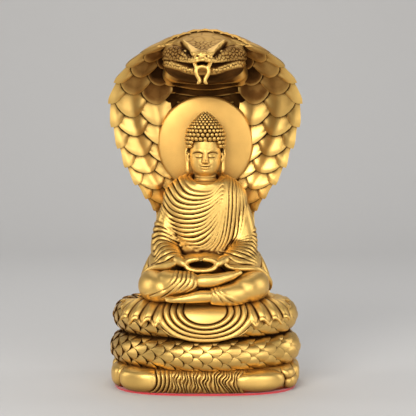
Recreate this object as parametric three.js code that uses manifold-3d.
// A gilt brass Buddha in meditation, seated on the two coils of a naga whose hood rises behind and leans over
// as a canopy. A plain halo is let into the naga's belly plates, and a rocky plinth on a felt pad carries it all.
// Millimetres, +Z up, -Y to the front. The origin is the middle of the felt's underside.
import * as THREE from "three";
import { mergeVertices } from "three/addons/utils/BufferGeometryUtils.js";
import Module from "manifold-3d";

const wasm = await Module();
wasm.setup();

const { PI, abs, cos, floor, max, min, pow, sign, sin, sqrt } = Math;
const { clamp, lerp, smoothstep } = THREE.MathUtils;
const TURN = 2 * PI;

// Driving dimensions
const JOINT_GAP = 0.3; // between two castings that touch
const FELT_THICKNESS = 1.6;
const FELT_INSET = 1.5; // the felt stops short of the plinth's foot all round
const PLINTH_WIDTH = 161;
const PLINTH_DEPTH = 121;
const PLINTH_HEIGHT = 19;
const COIL_BEDDING = 4; // the lower coil lies this deep in the plinth
const COIL_WIDTH = 163; // the lower coil, over its scales
const COIL_DEPTH = 125;
const COIL_RADIUS = 15.2; // of the naga's body, over its scales
const COIL_NESTING = 3.5; // how far the upper coil sinks between its own turns
const COIL_STEP_IN = 2.5; // the upper coil stands this much inside the lower one
const SCALE_RISE = 1.7; // of a scale's tip on the coils
const HOOD_WIDTH = 166;
const HOOD_SCALE_RISE = 3;
const CANOPY_ROOM = 70; // from the figure's topknot to the crown of the hood
const FIGURE_HEIGHT = 158; // from the seat to the tip of the topknot
const HALO_RADIUS = 41;
const HALO_THICKNESS = 5;
const CLOTH_THICKNESS = 1.8; // of the robe's hem where it hangs over the coil

// Places that follow from them
const plinthFoot = FELT_THICKNESS + JOINT_GAP;
const plinthTop = plinthFoot + PLINTH_HEIGHT;
const lowerCoilZ = plinthTop - COIL_BEDDING + COIL_RADIUS;
const upperCoilZ = lowerCoilZ + 2 * COIL_RADIUS - COIL_NESTING;
const coilHalfWidth = COIL_WIDTH / 2 - COIL_RADIUS;
const coilHalfDepth = COIL_DEPTH / 2 - COIL_RADIUS;
const seatZ = upperCoilZ + COIL_RADIUS - 2.5;
const crownZ = seatZ + FIGURE_HEIGHT + CANOPY_ROOM;
const hoodRise = crownZ - upperCoilZ;

// Shapes and joining

// A closed skin drawn on a three.js sphere: place(turn, run) gives each point, turn 0 to 1 round it and run 0 to 1
// from one end to the other, where all the turns meet.
function skin(sides, steps, place) {
  const geometry = new THREE.SphereGeometry(1, sides, steps);
  const { position, uv } = geometry.attributes;
  for (let i = 0; i < position.count; i++) {
    const point = place(uv.getX(i), 1 - uv.getY(i));
    position.setXYZ(i, point.x, point.y, point.z);
  }
  return solidOf(geometry);
}

// A geometry as a solid with its faces pointing out, whichever way its points were wound.
function solidOf(geometry) {
  const bare = geometry.clone();
  bare.deleteAttribute("normal");
  bare.deleteAttribute("uv");
  const merged = mergeVertices(bare, 1e-4);
  const triVerts = new Uint32Array(merged.index.array);
  const vertProperties = merged.attributes.position.array;
  const made = new wasm.Manifold(new wasm.Mesh({ numProp: 3, vertProperties, triVerts }));
  if (made.volume() > 0) return made;
  for (let i = 0; i < triVerts.length; i += 3) {
    [triVerts[i + 1], triVerts[i + 2]] = [triVerts[i + 2], triVerts[i + 1]];
  }
  return new wasm.Manifold(new wasm.Mesh({ numProp: 3, vertProperties, triVerts }));
}

const join = (solids) => solids.reduce((whole, piece) => whole.add(piece));

// The largest single body of a solid, so that a sliver left by a cut isn't kept.
function mainBody(solid) {
  return solid.decompose().reduce((best, body) => (body.volume() > best.volume() ? body : best));
}

function named(name, solid, material) {
  const { numProp, numVert, vertProperties, triVerts } = mainBody(solid).getMesh();
  const points = new Float32Array(numVert * 3);
  for (let i = 0; i < numVert; i++) {
    points.set(vertProperties.subarray(i * numProp, i * numProp + 3), i * 3);
  }
  const geometry = new THREE.BufferGeometry();
  geometry.setAttribute("position", new THREE.BufferAttribute(points, 3));
  geometry.setIndex(new THREE.BufferAttribute(triVerts, 1));
  geometry.computeVertexNormals();
  const mesh = new THREE.Mesh(geometry, material);
  mesh.name = name;
  return mesh;
}

// A value that runs smoothly through [at, value] stations.
function through(stations, at) {
  const last = stations.length - 1;
  if (at <= stations[0][0]) return stations[0][1];
  if (at >= stations[last][0]) return stations[last][1];
  const i = stations.findIndex(([start], k) => k < last && at >= start && at < stations[k + 1][0]);
  const [x0, y0] = stations[i];
  const [x1, y1] = stations[i + 1];
  const slope = (k) =>
    k <= 0 || k >= last
      ? 0
      : (stations[k + 1][1] - stations[k - 1][1]) / (stations[k + 1][0] - stations[k - 1][0]);
  const width = x1 - x0;
  const t = (at - x0) / width;
  const [t2, t3] = [t * t, t * t * t];
  return (
    y0 * (2 * t3 - 3 * t2 + 1) +
    slope(i) * width * (t3 - 2 * t2 + t) +
    y1 * (3 * t2 - 2 * t3) +
    slope(i + 1) * width * (t3 - t2)
  );
}

// A rounded limb through [x, y, z, radius] stations. flat squeezes it along lift, the side that faces up, and flute
// sinks every other side, for folds of cloth that run along it.
function limb(stations, { sides = 8, steps = 8, flat = 1, flute = 0, lift = [0, 0, 1], point = (p) => p } = {}) {
  const path = new THREE.CatmullRomCurve3(
    stations.map(([x, y, z]) => new THREE.Vector3(x, y, z)),
  );
  const radii = stations.map(([, , , radius], i) => [i / (stations.length - 1), radius]);
  return skin(sides, steps, (turn, run) => {
    const t = (1 - cos(PI * run)) / 2;
    const centre = path.getPoint(t);
    const ahead = path.getTangent(t);
    const side = new THREE.Vector3().crossVectors(ahead, new THREE.Vector3(...lift)).normalize();
    const up = new THREE.Vector3().crossVectors(side, ahead).normalize();
    const radius = through(radii, t) * pow(max(0, 1 - pow(abs(2 * t - 1), 5)), 0.5);
    const angle = TURN * turn;
    const reach = radius * (Math.round(turn * sides) % 2 ? 1 - flute : 1);
    centre.addScaledVector(side, reach * cos(angle));
    centre.addScaledVector(up, reach * flat * sin(angle));
    return point(centre);
  });
}

function ball(x, y, z, halfX, halfY, halfZ, sides = 12, steps = 8) {
  return skin(sides, steps, (turn, run) => {
    const ring = sin(PI * run);
    return new THREE.Vector3(
      x + halfX * ring * cos(TURN * turn),
      y + halfY * ring * sin(TURN * turn),
      z - halfZ * cos(PI * run),
    );
  });
}

// A box from one corner to the other.
function block(low, high) {
  const size = high.clone().sub(low);
  const geometry = new THREE.BoxGeometry(size.x, size.y, size.z);
  geometry.translate(...low.clone().add(high).multiplyScalar(0.5).toArray());
  return solidOf(geometry);
}

// A skin of overlapping scales in staggered rows. place(turn, run, rise) puts a point on the body, with rise 1 at a
// scale's tip and 0 at its root. Each scale rises from its root to its tip, and steps down from there to the next
// ones. A pointed scale is a lozenge with a keel. A rounded one has a shoulder on each side of its tip and is creased
// across, but for the ones that fold over the edge of a flat body, at turn 0 and at half a turn.
const RISES = [0, 0.35, 1]; // of a scale's root, its two corners and its tip
const SHOULDER_RISES = [0.15, 0, 0.85]; // of what lies under a shoulder, and of the shoulder
const SHOULDER_OUT = 0.3; // as a share of a column
const SHOULDER_BACK = 0.42; // as a share of a row
function scaleSkin(columns, rows, rounded, place) {
  const points = [];
  const faces = [];
  const made = new Map();
  const corner = (row, column, level, shift = 0) => {
    const wrapped = (column + columns) % columns;
    const key = [row, wrapped, level, shift].join();
    if (!made.has(key)) {
      made.set(key, points.length / 3);
      const turn = (wrapped + (row % 2) / 2 + shift * SHOULDER_OUT) / columns;
      const run = (row - abs(shift) * SHOULDER_BACK) / rows;
      const rise = shift ? SHOULDER_RISES[level] : RISES[level];
      points.push(...place((turn + 1) % 1, run, rise).toArray());
    }
    return made.get(key);
  };
  const shoulder = (row, column, level, shift) => (rounded ? [corner(row, column, level, shift)] : []);
  const fan = (middle, rim) => {
    for (let i = 0; i + 1 < rim.length; i++) faces.push(middle, rim[i], rim[i + 1]);
  };
  const strip = (upper, lower) => {
    for (let i = 0; i + 1 < upper.length; i++) {
      faces.push(upper[i], upper[i + 1], lower[i + 1], upper[i], lower[i + 1], lower[i]);
    }
  };
  for (let row = 0; row <= rows - 2; row++) {
    for (let column = 0; column < columns; column++) {
      const left = column + (row % 2 ? 0 : -1);
      const right = left + 1;
      const upperLeft = [corner(row + 1, left, 1), ...shoulder(row + 2, column, 2, -1), corner(row + 2, column, 2)];
      const upperRight = [corner(row + 2, column, 2), ...shoulder(row + 2, column, 2, 1), corner(row + 1, right, 1)];
      const [sideLeft, sideRight] = [corner(row + 1, left, 1), corner(row + 1, right, 1)];
      const tip = corner(row + 2, column, 2);
      const root = corner(row, column, 0);
      const lowerSide = [
        sideLeft, ...shoulder(row + 1, left, 0, 1), root, ...shoulder(row + 1, right, 0, -1), sideRight,
      ];
      const tipLeft = upperLeft.slice(1, -1);
      const tipRight = upperRight.slice(1, -1);
      const onEdge = (2 * column + (row % 2)) % columns === 0;
      if (rounded && !onEdge) {
        fan(tip, [...tipLeft, sideLeft, sideRight, ...tipRight]);
        fan(root, [sideRight, ...lowerSide.slice(0, 2)]);
        fan(root, [lowerSide[3], sideRight]);
      } else {
        fan(tip, [...tipLeft, ...lowerSide, ...tipRight]);
      }
      if (row > rows - 3) continue;
      const lowerLeft = [corner(row + 1, left, 0), ...shoulder(row + 2, column, 0, -1), corner(row + 2, column, 1)];
      const lowerRight = [corner(row + 2, column, 1), ...shoulder(row + 2, column, 0, 1), corner(row + 1, right, 0)];
      strip(upperLeft, lowerLeft);
      strip(upperRight, lowerRight);
    }
  }
  const cap = (run, chain) => {
    const centre = new THREE.Vector3();
    for (let i = 0; i < 2 * columns; i++) centre.add(place(i / 2 / columns, run, 0));
    const middle = points.length / 3;
    points.push(...centre.divideScalar(2 * columns).toArray());
    for (let column = 0; column < columns; column++) fan(middle, chain(column));
  };
  cap(0, (column) =>
    [
      corner(0, column, 0), ...shoulder(1, column, 0, -1), corner(1, column, 1), ...shoulder(1, column, 0, 1),
      corner(0, column + 1, 0),
    ].reverse(),
  );
  const between = rows % 2 ? 1 : 0;
  cap(1, (column) => [
    corner(rows, column, 2), ...shoulder(rows, column, 2, 1), corner(rows - 1, column + between, 1),
    ...shoulder(rows, column + 1, 2, -1), corner(rows, column + 1, 2),
  ]);
  const geometry = new THREE.BufferGeometry();
  geometry.setAttribute("position", new THREE.Float32BufferAttribute(points, 3));
  geometry.setIndex(faces);
  return solidOf(geometry);
}

// Felt pad and rocky plinth

// The footprint is a rounded oblong, drawn by an angle that starts at the front and turns towards +X.
function footprint(turn, halfWidth, halfDepth) {
  const squared = (value) => sign(value) * pow(abs(value), 0.7);
  return [halfWidth * squared(sin(TURN * turn)), -halfDepth * squared(cos(TURN * turn))];
}

// Boulders round the plinth: [middle of the turn, half its width in turns, height of its middle as a share of the
// plinth's height, rise in millimetres].
const BOULDERS = [
  [-0.125, 0.052, 0.5, 5],
  [0.118, 0.065, 0.5, 5],
  [-0.215, 0.034, 0.55, 4.5],
  [0.208, 0.024, 0.72, 4.5],
  [0.235, 0.026, 0.3, 4.5],
  [-0.31, 0.05, 0.45, 5],
  [0.31, 0.045, 0.5, 5],
  [-0.41, 0.04, 0.55, 4.5],
  [0.4, 0.035, 0.4, 4.5],
  [0.495, 0.045, 0.5, 5],
];
const STRATA = 9; // upright grooves between the two front boulders
const STRATA_HALF_TURN = 0.055;
const PLINTH_RELIEF = 5; // the rock's mean face stands this much inside the footprint

function rockRise(turn, level) {
  const wrapped = turn > 0.5 ? turn - 1 : turn;
  let rise = 0;
  for (const [middle, half, height, top] of BOULDERS) {
    const away = abs(((wrapped - middle + 1.5) % 1) - 0.5) / half;
    const up = (level - height) / 0.62;
    rise = max(rise, top * sqrt(max(0, 1 - away * away * away * away - up * up * up * up)));
  }
  if (abs(wrapped) < STRATA_HALF_TURN) {
    rise = max(rise, 1.4 + 0.9 * cos((PI * STRATA * wrapped) / STRATA_HALF_TURN));
  }
  return rise;
}

function makeFelt() {
  const outline = new THREE.Shape();
  const sides = 40;
  for (let i = 0; i < sides; i++) {
    const half = PLINTH_RELIEF / 2 + FELT_INSET;
    const [x, y] = footprint(i / sides, PLINTH_WIDTH / 2 - half, PLINTH_DEPTH / 2 - half);
    if (i === 0) outline.moveTo(x, y);
    else outline.lineTo(x, y);
  }
  return solidOf(new THREE.ExtrudeGeometry(outline, { depth: FELT_THICKNESS, bevelEnabled: false }));
}

function makePlinth() {
  const steps = 7;
  return skin(64, steps, (turn, run) => {
    const level = clamp((run * steps - 1) / (steps - 2), 0, 1);
    const tuck = level > 0.5 ? 7 * pow(2 * level - 1, 3) : 2 * pow(1 - 2 * level, 3);
    const stand = PLINTH_RELIEF + tuck - rockRise(turn, level);
    const [x, y] = footprint(turn, PLINTH_WIDTH / 2 - stand, PLINTH_DEPTH / 2 - stand);
    const open = run > 0 && run < 1 ? 1 : 0;
    return new THREE.Vector3(open * x, open * y, lerp(plinthFoot, plinthTop, level));
  });
}

// The naga's coils

// The body's centreline: turn 0 at the back, 0.25 on the right, 0.5 in front and 0.75 on the left. The lower coil is
// turns 0 to 1 and the upper one 1 to 2, and the body climbs from one to the other behind the figure.
const TAIL_START = 0.02;
const UPPER_START = 0.93;
const UPPER_END = 1.96;
function coilPoint(turn) {
  const climb = smoothstep(turn, 0.84, 1.14);
  const inset = COIL_STEP_IN * climb;
  return new THREE.Vector3(
    (coilHalfWidth - inset) * sin(TURN * turn),
    (coilHalfDepth - inset) * cos(TURN * turn),
    lerp(lowerCoilZ, upperCoilZ, climb),
  );
}

const tailTaper = (turn) => lerp(0.3, 1, smoothstep(turn, TAIL_START, 0.26));

// A point on the body, angle 0 facing out of the coil and a quarter turn facing up.
function onCoil(turn, angle, radius) {
  const centre = coilPoint(turn);
  const ahead = coilPoint(turn + 0.002).sub(coilPoint(turn - 0.002)).normalize();
  const up = new THREE.Vector3(0, 0, 1);
  const out = new THREE.Vector3().crossVectors(up, ahead).normalize();
  up.crossVectors(out, ahead).normalize();
  if (up.z < 0) up.negate();
  const reach = radius * tailTaper(turn);
  centre.addScaledVector(out, reach * cos(angle));
  return centre.addScaledVector(up, reach * sin(angle));
}

// One coil in its scales, whose tips point to the tail. The columns are closer on the side that faces out.
const COIL_COLUMNS = 5;
const COIL_ROWS = 42; // in a full turn
const COIL_CROWDING = 0.35; // of the columns towards the outer side
function scaledCoil(start, end, rows) {
  return scaleSkin(COIL_COLUMNS, rows, false, (turn, run, rise) => {
    const angle = TURN * turn - COIL_CROWDING * sin(TURN * turn);
    const radius = COIL_RADIUS - SCALE_RISE + SCALE_RISE * rise;
    return onCoil(lerp(end, start, run), angle, radius);
  });
}

// The same body without scales and a little larger, which cuts room for it in what lies on it.
function coilRoom(start, end, extra) {
  const sides = 14;
  const radius = (COIL_RADIUS + extra) / cos(PI / sides) + 0.1;
  return skin(sides, 56, (turn, run) => {
    const open = run > 0 && run < 1 ? 1 : 0;
    return onCoil(lerp(start, end, run), TURN * turn, open * radius);
  });
}

// The disc inside the coils that the figure sits on.
function seatPlug(extra) {
  const steps = 4;
  const top = seatZ - 6 + extra;
  return skin(16, steps, (turn, run) => {
    const open = run > 0 && run < 1 ? 1 : 0;
    const x = open * (coilHalfWidth - 4) * sin(TURN * turn);
    const y = open * (coilHalfDepth - 4) * cos(TURN * turn);
    return new THREE.Vector3(x, y, run < 0.5 ? plinthTop + JOINT_GAP : top);
  });
}

// The naga's neck and hood

// The hood is drawn 240 high and 166 wide, with its foot on the upper coil's centreline, and follows the real sizes.
const DRAWN_RISE = 240;
const DRAWN_HALF_WIDTH = 83;
const hoodUp = hoodRise / DRAWN_RISE;
const hoodOut = HOOD_WIDTH / 2 / DRAWN_HALF_WIDTH;
const hoodBackY = coilHalfDepth;
const drawn = (x, y, z) => new THREE.Vector3(x * hoodOut, hoodBackY + y * hoodUp, upperCoilZ + z * hoodUp);

// The spine and the rim of the hood, from the coil up and over to the head.
const SPINE = [
  [0, -2, -8], [0, -2, 25], [0, -3, 52], [0, -4, 78], [0, -4, 92], [0, -5, 108],
  [0, -5, 130], [0, -6, 155], [0, -10, 179], [0, -16, 195], [0, -26, 212], [0, -40, 225.5], [0, -58, 231.5],
].map(([x, y, z]) => drawn(x, y, z));
const RIM = [
  [62, -10, -4], [53, -13, 25], [44, -15, 52], [42, -17, 78], [45, -21, 88], [53, -27, 101],
  [65, -34, 120], [76, -42, 151], [80, -48, 176], [76, -53, 193], [67, -58, 207], [54, -62, 219], [38, -64, 226],
].map(([x, y, z]) => drawn(x, y, z));
const spineCurve = new THREE.CatmullRomCurve3(SPINE);
const rimCurve = new THREE.CatmullRomCurve3(RIM);

// The middle surface of the hood: run 0 at the coil and 1 at the head, across -1 and 1 at the two rims.
function hoodSheet(run, across) {
  const spine = spineCurve.getPoint(run);
  const rim = rimCurve.getPoint(run);
  const bow = new THREE.Vector3(rim.x * 0.62, lerp(spine.y, rim.y, 0.16), lerp(spine.z, rim.z, 0.3));
  const t = abs(across);
  const point = spine.multiplyScalar((1 - t) * (1 - t));
  point.addScaledVector(bow, 2 * t * (1 - t)).addScaledVector(rim, t * t);
  point.x *= sign(across) || 1;
  return point;
}

// A point of the hood's skin: side 1 is the back, -1 the hollow front.
const HOOD_BODY_HALF = [[0, 14], [0.45, 12], [0.6, 9], [0.8, 8], [1, 9]];
const HOOD_RIM_HALF = 2.2;
function onHood(run, across, side, rise) {
  const step = 0.01;
  const point = hoodSheet(run, across);
  const alongRun = hoodSheet(min(1, run + step), across).sub(hoodSheet(max(0, run - step), across));
  const alongAcross = hoodSheet(run, across + step).sub(hoodSheet(run, across - step)).normalize();
  const normal = new THREE.Vector3().crossVectors(alongRun, alongAcross).normalize();
  if (normal.y < 0 && normal.z < 0.9) normal.negate();
  if (normal.dot(new THREE.Vector3(0, 0.6, 0.8)) < 0) normal.negate();
  const body = through(HOOD_BODY_HALF, run) * hoodUp;
  const thickness = lerp(HOOD_RIM_HALF, body, pow(max(0, 1 - across * across), 1.5));
  const turnOut = pow(abs(across), 8) * (PI / 2);
  const outward = alongAcross.multiplyScalar(sign(across) || 1);
  const lift = normal.clone().multiplyScalar(side * cos(turnOut)).addScaledVector(outward, sin(turnOut));
  const edge = sqrt(max(0, 1 - pow(abs(across), 10)));
  point.addScaledVector(normal, side * thickness * edge);
  return point.addScaledVector(lift.normalize(), rise);
}

const HOOD_COLUMNS = 8;
const HOOD_ROWS = 24;
function makeHood() {
  return scaleSkin(HOOD_COLUMNS, HOOD_ROWS, true, (turn, fall, rise) => {
    const run = 1 - fall * (1.3 - 0.3 * fall);
    const front = turn < 0.5;
    const across = front ? 4 * turn - 1 : 3 - 4 * turn;
    const swell = lerp(0.45, 1, smoothstep(run, 0.3, 0.6)) * HOOD_SCALE_RISE;
    return onHood(run, across, front ? -1 : 1, swell * rise);
  });
}

// The neck's front without scales and a little larger, for cutting room in the figure's back.
function neckRoom(extra) {
  return skin(24, 24, (turn, run) => {
    const front = turn < 0.5;
    const across = front ? 4 * turn - 1 : 3 - 4 * turn;
    const open = run > 0 && run < 1;
    const at = 0.02 + 0.66 * run;
    if (!open) return hoodSheet(at, 0);
    return onHood(at, across, front ? -1 : 1, HOOD_SCALE_RISE + extra);
  });
}

// The belly plates: a stepped column down the hollow of the hood, from the throat to behind the figure.
const BELLY = [
  [0, -60, 213, 30], [0, -46, 206, 35], [0, -29, 199, 37], [0, -17, 185, 37], [0, -16, 160, 36],
  [0, -18, 130, 34], [0, -18, 105, 30], [0, -18, 60, 25], [0, -18, 8, 25],
];
const BELLY_PLATES = 10;
const BELLY_STEP = 2.2;
const BELLY_BULGE = 7.5;
// With extra room it is a smooth column just outside the plates, for cutting the figure's back.
function makeBelly(extra = 0) {
  const path = new THREE.CatmullRomCurve3(BELLY.map(([x, y, z]) => drawn(x, y, z)));
  const widths = BELLY.map(([, , , half], i) => [i / (BELLY.length - 1), half * hoodOut]);
  const steps = BELLY_PLATES * 2 + 1;
  const sides = 10;
  return skin(sides, steps, (turn, run) => {
    const ring = Math.round(run * steps);
    if (ring === 0 || ring === steps) return path.getPoint(ring / steps);
    const plate = (ring - 1) / (steps - 2);
    const centre = path.getPoint(plate);
    const side = new THREE.Vector3(1, 0, 0);
    const out = new THREE.Vector3().crossVectors(side, path.getTangent(plate)).normalize();
    if (out.y > 0) out.negate();
    const angle = TURN * turn;
    const step = extra > 0 || ring % 2 ? BELLY_STEP : 0;
    const spare = extra > 0 ? (extra + 0.4) / cos(PI / sides) : 0;
    centre.addScaledVector(side, (through(widths, plate) + step + spare) * cos(angle));
    return centre.addScaledVector(out, (BELLY_BULGE + step + spare) * sin(angle));
  });
}

// The naga's head: a broad wedge that looks forward, with brows, eyes, a cut mouth and the jaw under it.
const HEAD_LENGTH = 62;
const HEAD_BACK = [0, -38, 217];
function headPoint(x, forward, up) {
  const [, backY, baseZ] = HEAD_BACK;
  return drawn(x, backY - forward, baseZ + up);
}

// [share of the length from the back, half width, height over the mouth, depth of the jaw below it]
const HEAD_SECTIONS = [
  [0, 28, 19, 8], [0.2, 34, 21, 13], [0.42, 34, 18.5, 12], [0.62, 28, 14, 9], [0.8, 19, 10, 6], [0.93, 11, 7, 4],
  [1, 4, 3, 2],
];
function makeHead() {
  const widths = HEAD_SECTIONS.map(([at, half]) => [at, half]);
  const heights = HEAD_SECTIONS.map(([at, , height]) => [at, height]);
  const jaws = HEAD_SECTIONS.map(([at, , , jaw]) => [at, jaw]);
  const skull = skin(16, 9, (turn, run) => {
    const open = run > 0 && run < 1 ? 1 : 0;
    const angle = TURN * turn;
    const high = sin(angle) > 0 ? through(heights, run) : through(jaws, run);
    const lip = 1.2 * smoothstep(abs(sin(angle)), 0, 0.35);
    const x = open * (through(widths, run) + lip - 1.2) * sign(cos(angle)) * pow(abs(cos(angle)), 0.8);
    return headPoint(x, HEAD_LENGTH * run, open * high * sign(sin(angle)) * pow(abs(sin(angle)), 0.85) - 5 * run);
  });
  const brow = (hand) =>
    limb(
      [
        [hand * 28, 22, 14, 3.5], [hand * 19, 34, 13.5, 4.5], [hand * 10, 45, 8, 4], [hand * 6, 52, 4, 2.5],
      ].map(onHead),
      { sides: 5, steps: 5 },
    );
  const eye = (hand) => ball(...headPoint(hand * 15.5, 41, 5.5).toArray(), 3.6, 3.6, 3.6, 6, 4);
  const upperLip = (hand) =>
    limb(
      [
        [hand * 36, 22, 2.5, 2.2], [hand * 29, 38, 2, 2.6], [hand * 18, 50, 0, 2.6], [hand * 5, 60, -1.5, 2.8],
      ].map(onHead),
      { sides: 4, steps: 6 },
    );
  const lowerLip = (hand) =>
    limb(
      [
        [hand * 34, 22, -5, 2], [hand * 27, 37, -6, 2.3], [hand * 17, 48, -8, 2.3], [hand * 8, 54, -9, 2],
      ].map(onHead),
      { sides: 4, steps: 6 },
    );
  const both = (build) => [build(-1), build(1)];
  const mouthFloor = headPoint(0, 58, -8.5);
  const mouth = ball(mouthFloor.x, mouthFloor.y - 1, mouthFloor.z + 1, 7.5, 9, 3.2, 8, 4);
  return join([skull, ...both(brow), ...both(eye), ...both(upperLip), ...both(lowerLip)]).subtract(mouth);
}

function onHead([x, forward, up, radius]) {
  return [...headPoint(x, forward, up).toArray(), radius];
}

// The forked tongue hangs from the mouth as a strap that opens into a ring and ends in two tips turned out.
function makeTongue() {
  const fork = (hand) =>
    limb(
      [
        [hand * 2.2, 48, -7, 2.4], [hand * 5.2, 56, -8.5, 2.1], [hand * 6.4, 59, -11.5, 1.8],
        [hand * 5.8, 60, -15, 1.8], [hand * 2.8, 60, -18.5, 1.8], [hand * 3.6, 60, -21.5, 1.9],
        [hand * 6.6, 60, -23.5, 1.3],
      ].map(onHead),
      { sides: 5, steps: 9, lift: [1, 0, 0] },
    );
  const rootStations = [[0, 40, -5, 5], [0, 52, -8, 5], [0, 58, -12, 2.5]].map(onHead);
  const root = limb(rootStations, { sides: 6, steps: 4, flat: 0.4 });
  const bridgeStations = [[-5, 59, -13, 1.7], [0, 59, -11.5, 1.7], [5, 59, -13, 1.7]].map(onHead);
  const bridge = limb(bridgeStations, { sides: 5, steps: 4 });
  return join([fork(-1), fork(1), root, bridge]);
}

// The figure

// The figure is drawn 158 high, with its seat at zero, and follows the real height.
const DRAWN_HEIGHT = 158;
const figureScale = FIGURE_HEIGHT / DRAWN_HEIGHT;
const FIGURE_FORWARD = -1; // the figure's middle stands this far in front of the origin
const placed = (p) =>
  new THREE.Vector3(p.x * figureScale, FIGURE_FORWARD + p.y * figureScale, seatZ + p.z * figureScale);
const part = (stations, options = {}) => limb(stations, { ...options, point: placed });
const mirrored = (stations) => stations.map(([x, y, z, radius]) => [-x, y, z, radius]);

// Torso sections in the robe: [height, half width, front, back]
const TORSO = [
  [8, 33, 24, 19], [22, 31, 21, 19], [40, 30, 19, 19], [58, 31, 19.5, 19], [72, 33, 19.8, 18.5],
  [82, 35.2, 19.5, 17.5], [89, 35.2, 18.2, 16], [94, 33, 16.4, 14.5], [98, 29.5, 14.8, 13], [101.5, 25.5, 13.2, 12],
  [104.5, 20.5, 11.5, 10.5], [107, 14, 10, 9.5],
];
const torsoHalfWidth = (z) => through(TORSO.map(([height, half]) => [height, half]), z);
const torsoFront = (z) => through(TORSO.map(([height, , front]) => [height, front]), z);
const torsoBack = (z) => through(TORSO.map(([height, , , back]) => [height, back]), z);

// The robe's open neck: how much of the front is let in at x, z, and how far forward the cloth then lies.
const NECKLINE = [97.5, 101];
const NECK_FRONT = 7;
const neckOpening = (x, z) => smoothstep(z, ...NECKLINE) * (1 - smoothstep(abs(x), 7.5, 13));

// Arms in their sleeves, from the shoulder round the elbow to the wrist.
const ARM = [
  [21, 2, 93, 11.5], [26, 1, 76, 12.2], [31, -3, 57, 12.4], [32, -9, 43, 12.6], [26.5, -24, 36, 11], [17, -35, 34, 8],
];
const HANDS_ASIDE = 3.5; // the hands lie this far to the figure's own right of its middle
// An arm's stations on one side, its far end moved with the hands.
function leaned(stations, hand) {
  const last = stations.length - 1;
  return stations.map(([x, ...rest], i) => [hand * x - HANDS_ASIDE * (i / last) ** 2, ...rest]);
}

const UPPER_ARM = ARM.slice(0, 4);
const armAt = (k, z) => through(UPPER_ARM.map((station) => [-station[2], station[k]]), -z);

// The y of the robe's front at x, z, on the chest or on the upper arm.
function robeY(x, z) {
  const share = clamp(x / torsoHalfWidth(z), -0.98, 0.98);
  const chest = -torsoFront(z) * pow(1 - pow(abs(share), 2.3), 1 / 2.3);
  const reach = armAt(3, z) ** 2 - (abs(x) - armAt(0, z)) ** 2;
  return min(chest, reach > 0 ? armAt(1, z) - sqrt(reach) : 0);
}

function makeTorso() {
  const steps = 13;
  return skin(20, steps, (turn, run) => {
    const share = clamp((run * steps - 1) / (steps - 2), 0, 1);
    const z = lerp(TORSO[0][0], TORSO[TORSO.length - 1][0], pow(share, 0.7));
    const open = run > 0 && run < 1 ? 1 : 0;
    const angle = TURN * turn;
    const x = torsoHalfWidth(z) * sign(sin(angle)) * pow(abs(sin(angle)), 2 / 2.3);
    const inFront = cos(angle) > 0;
    const y = (inFront ? -torsoFront(z) : torsoBack(z)) * pow(abs(cos(angle)), 2 / 2.3);
    const letIn = inFront ? neckOpening(x, z) : 0;
    return placed({ x: open * x, y: open * lerp(y, max(y, -NECK_FRONT), letIn), z });
  });
}

// A fan of folds: each one is a bent line from a start guide over a middle guide to an end guide. A guide is itself a
// bent line of [x, z], from the first fold to the last one. ridge(line) builds a fold.
function foldFan(count, guides, ridge) {
  const bent = (points) => new THREE.QuadraticBezierCurve(...points.map(([x, z]) => new THREE.Vector2(x, z)));
  const curves = guides.map(bent);
  const folds = [];
  for (let i = 0; i < count; i++) {
    folds.push(ridge(new THREE.QuadraticBezierCurve(...curves.map((curve) => curve.getPoint(i / (count - 1))))));
  }
  return folds;
}

const FOLD_POINTS = 7;
const FOLD_WIDTH = 2.5;
function robeFold(line) {
  const stations = line.getPoints(FOLD_POINTS - 1).map(({ x, y: z }, i) => {
    const taper = sin((PI * (i + 0.7)) / (FOLD_POINTS + 0.4));
    return [x, robeY(x, z) + 0.8, z, FOLD_WIDTH * (0.4 + 0.6 * taper)];
  });
  return part(stations, { sides: 4, steps: 7, lift: [0, -1, 0] });
}

function makeRobeFolds() {
  const sweeps = foldFan(
    8,
    [
      [[-12, 97], [-38, 93], [-39, 46]],
      [[0, 80], [6, 60], [12, 2]],
      [[13, 98], [17, 94], [22, 86]],
    ],
    robeFold,
  );
  const hanging = foldFan(
    3,
    [
      [[19, 96], [25, 92], [31, 84]],
      [[27, 66], [30, 66], [36, 66]],
      [[12, 32], [20, 36], [30, 44]],
    ],
    robeFold,
  );
  return [...sweeps, ...hanging];
}

const SLEEVE = [[31, 6, 38, 10], [36, -5, 34, 11], [35, -18, 32, 10.5], [28, -30, 31.5, 8.5], [18.5, -37, 34, 6.5]];
// The hanging edge of the sleeve, which lies over the knee.
const CUFF = [[46, 2, 26, 4.5], [45, -10, 27.5, 3.6], [38, -27, 28.5, 2.8], [26, -39, 30.5, 2.4], [17, -41, 38, 2]];
function makeArms() {
  const options = { sides: 12, steps: 6, flute: 0.13, lift: [1, 0, 0] };
  const cuff = { sides: 5, steps: 7 };
  return [-1, 1].flatMap((hand) => [
    part(leaned(ARM, hand), options), part(leaned(SLEEVE, hand), options), part(leaned(CUFF, hand), cuff),
  ]);
}

// Hands in the lap, one on the other, with the thumbs meeting over them and a hollow between.
function makeHands() {
  const options = { sides: 8, steps: 8 };
  const aside = (stations) => stations.map(([x, ...rest]) => [x - HANDS_ASIDE, ...rest]);
  const palms = [[-24, -31, 35, 5], [-14, -41, 32, 4.5], [0, -45, 31, 4], [14, -41, 32, 4.5], [24, -31, 35, 5]];
  const thumbs = [[-22, -33, 37, 4], [-14, -42, 39.5, 3], [0, -45, 40.5, 2.4], [14, -42, 39.5, 3], [22, -33, 37, 4]];
  return [part(aside(palms), { ...options, flat: 0.75 }), part(aside(thumbs), options)];
}

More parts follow.
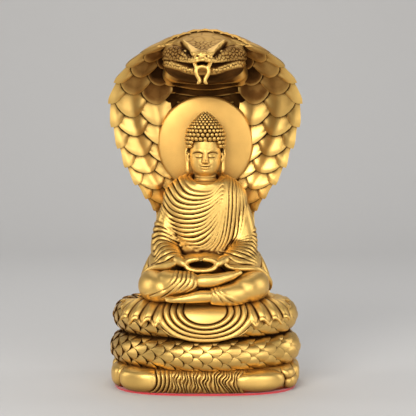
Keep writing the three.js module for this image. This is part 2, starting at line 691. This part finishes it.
// Crossed legs: both knees, the shins, and the two bare feet.
const KNEE = [[14, -2, 16, 14], [30, -15, 16, 14.5], [41, -28, 15.6, 14.3], [35, -42, 15, 12.3], [16, -50, 14, 9.5]];
function makeLegs() {
  const options = { sides: 8, steps: 8, flat: 0.9 };
  const foot = { sides: 8, steps: 6, flat: 0.9 };
  const upperStations = [[-8, -49, 20, 6.5], [6, -52, 21.5, 6.3], [18, -50.5, 24, 5.2], [29.5, -46, 27.5, 3.2]];
  const upperFoot = part(upperStations, foot);
  const lowerFoot = part([[12, -51, 10, 7], [-4, -56, 9.5, 6], [-18, -57, 8, 4.8], [-33, -53, 6.5, 3]], foot);
  const folds = (hand, rows) =>
    rows.map(([x0, z0, x1, z1]) =>
      part(
        [
          [hand * x0, -48, z0, 1.4],
          [hand * ((x0 + x1) / 2 + 1), -53, (z0 + z1) / 2 - 1.5, 2.1],
          [hand * x1, -54, z1, 1.4],
        ],
        { sides: 4, steps: 5 },
      ),
    );
  return [
    part(KNEE, options), part(mirrored(KNEE), options), upperFoot, lowerFoot,
    ...folds(-1, [[8, 25, 20, 13], [15, 26, 29, 13], [22, 27, 38, 12]]),
    ...folds(1, [[6, 16, 14, 5], [12, 17, 24, 5.5]]),
    lapFill(),
  ];
}

// The cloth between the knees and under the feet, which seats the figure inside the coils.
function lapFill() {
  return skin(20, 6, (turn, run) => {
    const ring = pow(sin(PI * run), 0.7);
    const angle = TURN * turn;
    return placed({ x: 46 * ring * cos(angle), y: -12 + 42 * ring * sin(angle), z: 5 - 12 * cos(PI * run) });
  });
}

// The hem hangs over the upper coil: a pleated skirt at the sides and a round apron of cloth in front. It is drawn in
// the coil's own sections, at a bearing that is zero in front and turns towards +X.
const HEM_BEARING = 0.245;
const APRON_BEARING = 0.078;
const APRON_DROP = 0.85; // below level, as an angle on the coil's section
const HEM_DROP = -0.02;
const HEM_TOP = 2.25; // where the cloth starts, over the top of the coil
const PLEATS = 30; // in a full turn
function hemAngle(bearing) {
  const apron = 1 - pow(bearing / APRON_BEARING, 2);
  if (apron > 0) return lerp(HEM_DROP, APRON_DROP, sqrt(apron));
  const fade = smoothstep(abs(bearing), HEM_BEARING - 0.07, HEM_BEARING);
  return HEM_DROP + 0.1 * cos(TURN * PLEATS * bearing) - 1.3 * fade;
}

function makeHem() {
  const across = 5;
  const sides = 2 * across;
  const room = (COIL_RADIUS + JOINT_GAP) / cos((HEM_TOP + APRON_DROP) / across / 2) + 0.15;
  return skin(sides, 52, (turn, run) => {
    const bearing = lerp(-HEM_BEARING, HEM_BEARING, run);
    const place = Math.round(turn * sides) % sides;
    const outer = place <= across;
    const share = (outer ? place : sides - place) / across;
    const angle = lerp(HEM_TOP, -hemAngle(bearing), share);
    const inApron = smoothstep(APRON_BEARING - abs(bearing), -0.01, 0.012);
    const pleat = (1 - inApron) * 1.3 * share * cos(TURN * PLEATS * bearing);
    const flare = share * share;
    const radius = outer ? room + CLOTH_THICKNESS + flare + max(-1, pleat) : room;
    if (run > 0 && run < 1) return onCoil(1.5 - bearing, angle, radius);
    return onCoil(1.5 - bearing, lerp(HEM_TOP, -hemAngle(bearing), 0.5), room + CLOTH_THICKNESS / 2);
  });
}

// Round folds that hang one inside the other down the apron.
function apronFolds() {
  return [0.6, 0.93].map((size) => {
    const stations = [];
    for (let i = 0; i <= 6; i++) {
      const swing = lerp(-1, 1, i / 6);
      const bearing = APRON_BEARING * 0.94 * size * sin((PI / 2) * swing);
      const low = -lerp(-0.75, APRON_DROP, size * cos((PI / 2) * swing * 0.9));
      const point = onCoil(1.5 - bearing, low, COIL_RADIUS + CLOTH_THICKNESS + 2.2);
      stations.push([...point.toArray(), 1.5]);
    }
    return limb(stations, { sides: 4, steps: 8, lift: [0, -1, 0] });
  });
}

// Head: face, hair in rows of curls up to the pointed topknot, and long ears.
const CHIN_Z = 107;
const FACE = [
  [105.5, 3.5, 6, 4], [107.5, 7.5, 11.5, 9], [111, 9.8, 13.2, 12], [117, 11.6, 13.8, 14], [124, 12.5, 14.2, 15],
  [131, 12.9, 13.8, 15.5], [138, 12, 12, 14],
];
const HAIR = [
  [128, 14.4, 11, 15.5], [134, 15.4, 14.6, 16.2], [140.5, 14.6, 13.6, 15.4], [146.5, 12, 11.4, 12.8],
  [151, 8.4, 8.2, 9], [155, 4.6, 4.6, 5], [157.6, 1.2, 1.2, 1.2],
];
function ovalRings(rings, sides, steps) {
  const pick = (k) => rings.map((ring) => [ring[0], ring[k]]);
  return skin(sides, steps, (turn, run) => {
    const share = clamp((run * steps - 1) / (steps - 2), 0, 1);
    const z = lerp(rings[0][0], rings[rings.length - 1][0], share);
    const open = run > 0 && run < 1 ? 1 : 0;
    const angle = TURN * turn;
    const deep = sin(angle) < 0 ? through(pick(2), z) : through(pick(3), z);
    return placed({ x: open * through(pick(1), z) * cos(angle), y: -1 + open * deep * sin(angle), z });
  });
}

// The hair's curls are short blunt scales in rows, up to the topknot.
const CURL_RISE = 2.2;
const CURL_COLUMNS = 11;
const CURL_ROWS = 11;
function makeHair() {
  const radius = (k, z) => through(HAIR.map((ring) => [ring[0], ring[k]]), z);
  return scaleSkin(CURL_COLUMNS, CURL_ROWS, false, (turn, run, rise) => {
    const z = lerp(HAIR[0][0], HAIR[HAIR.length - 1][0], pow(1 - run, 1.1));
    const angle = TURN * turn;
    const reach = (k) => radius(k, z) + CURL_RISE * rise * smoothstep(radius(1, z), 0, 6);
    return placed({ x: reach(1) * cos(angle), y: -1 + reach(sin(angle) < 0 ? 2 : 3) * sin(angle), z });
  });
}

function makeFigureHead() {
  const ear = [[13.4, 0, 127, 2], [15, 0, 122, 2.6], [14.6, -0.5, 115, 1.9], [13.8, -1, 107, 2.2]];
  const ears = [ear, mirrored(ear)].map((stations) => part(stations, { sides: 6, steps: 7, lift: [0, 1, 0] }));
  const small = { sides: 6, steps: 5 };
  const nose = part([[0, -13.4, 124, 0.9], [0, -15, 119.5, 1.5], [0, -15.2, 116.6, 1.9]], small);
  const lips = part([[-3.4, -13.2, 112.9, 0.7], [0, -14.2, 112.8, 1.5], [3.4, -13.2, 112.9, 0.7]], small);
  const lid = (hand) =>
    part([[hand * 2.8, -13, 122, 0.8], [hand * 5.6, -12.8, 121.4, 1.5], [hand * 8.6, -10.6, 121.8, 0.8]], small);
  const neckStations = [[0, 0, 84, 8.5], [0, -0.5, 98, 8], [0, -0.5, 120, 8.5]];
  const neck = part(neckStations, { sides: 10, steps: 6, lift: [0, 1, 0] });
  return [ovalRings(FACE, 12, 8), makeHair(), ...ears, nose, lips, lid(-1), lid(1), neck];
}

// The halo: a plain disc, slightly domed, with a rounded edge.
const HALO_OVER_CHIN = 24; // its middle above the chin
const haloCentre = placed({ x: 0, y: 0, z: CHIN_Z + HALO_OVER_CHIN });
const HALO_BACK_Y = FIGURE_FORWARD + 24 * figureScale;
const HALO_DOME = 1.6;
function makeHalo(extra) {
  const half = HALO_THICKNESS / 2 + extra;
  const radius = HALO_RADIUS + extra;
  const profile = [
    [0, half], [radius - 2, half], [radius, 0], [radius - 1.6, -half], [radius * 0.55, -half - HALO_DOME * 0.8],
    [0, -half - HALO_DOME],
  ];
  const geometry = new THREE.LatheGeometry(profile.map(([r, y]) => new THREE.Vector2(r, y)), 36);
  geometry.translate(0, HALO_BACK_Y - HALO_THICKNESS / 2, haloCentre.z);
  return solidOf(geometry);
}

// Castings

function makeNaga() {
  const body = join([
    scaledCoil(TAIL_START, 0.99, COIL_ROWS),
    scaledCoil(UPPER_START, UPPER_END, COIL_ROWS + 2),
    seatPlug(0), makeHood(), makeBelly(), makeHead(), makeTongue(),
  ]);
  const far = COIL_WIDTH + HOOD_WIDTH;
  const ground = block(new THREE.Vector3(-far, -far, -far), new THREE.Vector3(far, far, plinthTop + JOINT_GAP));
  return body.subtract(ground).subtract(makeHalo(JOINT_GAP));
}

function makeBuddha() {
  const figure = join([
    makeTorso(), ...makeRobeFolds(), ...makeArms(), ...makeHands(), ...makeLegs(), ...makeFigureHead(),
  ]);
  const rooms = [
    coilRoom(UPPER_START, UPPER_END, JOINT_GAP), seatPlug(JOINT_GAP), neckRoom(JOINT_GAP), makeBelly(JOINT_GAP),
    makeHalo(JOINT_GAP),
  ];
  return join([rooms.reduce((solid, room) => solid.subtract(room), figure), makeHem(), ...apronFolds()]);
}

const gilt = new THREE.MeshStandardMaterial({ color: 0xd9a441, roughness: 0.32, metalness: 1 });
const satinGilt = new THREE.MeshStandardMaterial({ color: 0xe2b257, roughness: 0.45, metalness: 1 });
const redFelt = new THREE.MeshStandardMaterial({ color: 0xa8161c, roughness: 0.95, metalness: 0 });

const nagaBuddha = new THREE.Group();
nagaBuddha.add(
  named("felt_pad", makeFelt(), redFelt),
  named("rock_plinth", makePlinth(), gilt),
  named("naga", makeNaga(), gilt),
  named("halo", makeHalo(0), satinGilt),
  named("buddha", makeBuddha(), gilt),
);

export default nagaBuddha;
